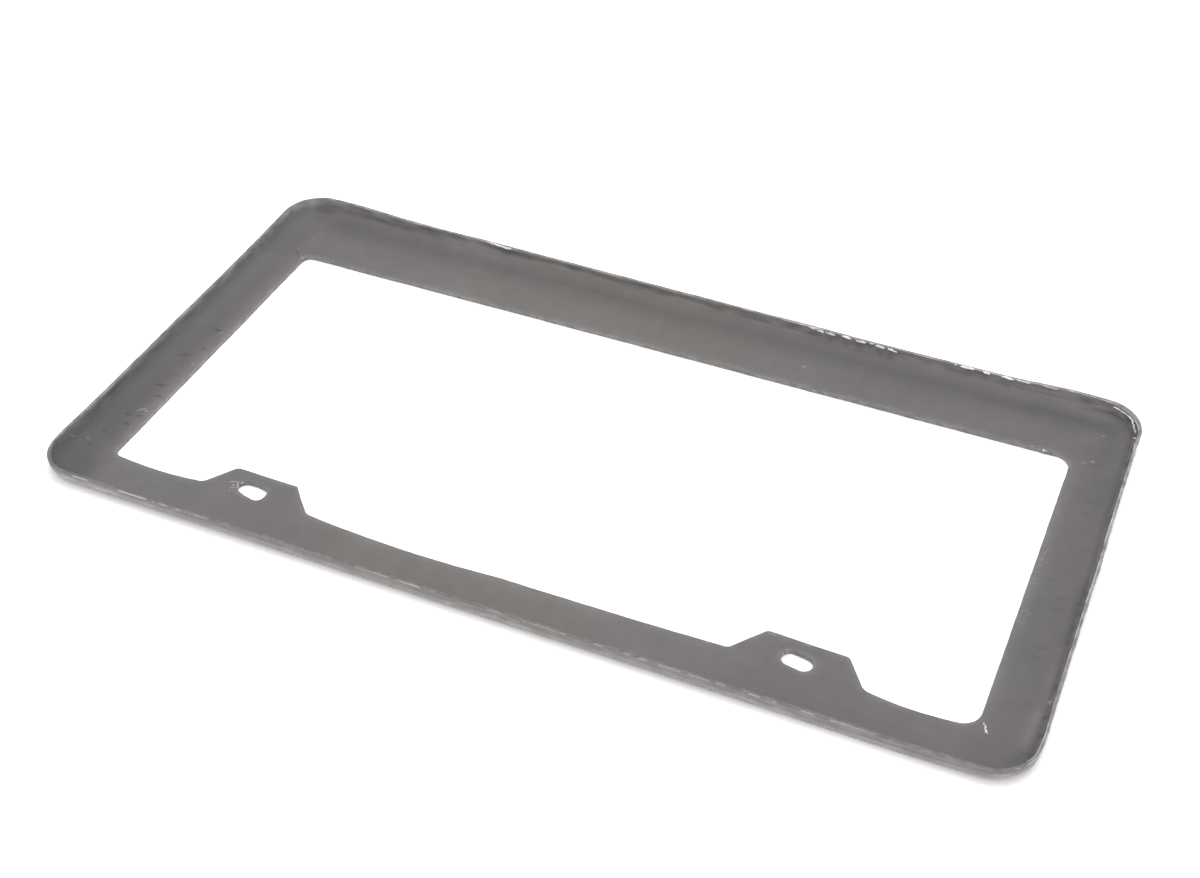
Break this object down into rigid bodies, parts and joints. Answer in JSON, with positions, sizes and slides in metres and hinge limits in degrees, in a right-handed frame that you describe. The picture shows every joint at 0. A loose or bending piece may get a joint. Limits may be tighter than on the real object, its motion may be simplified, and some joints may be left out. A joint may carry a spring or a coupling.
{
  "type": "number plate holder",
  "caption": "One-piece rectangular number plate frame in fibre laminate, with a viewing window, a shallow lip round the plate and slotted bolt tabs.",
  "frame": {"origin": "centre of the frame's outline, on the plane of its show face", "axes": "+X along the frame, +Y from the bolt tabs to the wide band, +Z from the show face to the back, the way the lip points"},
  "size_m": [0.316, 0.1636, 0.0055],
  "materials": {
    "laminate": "bare, matt back of a hand-laid fibre laminate"
  },
  "bodies": {
    "root": {"plate_frame": "laminate"}
  },
  "joints": []
}
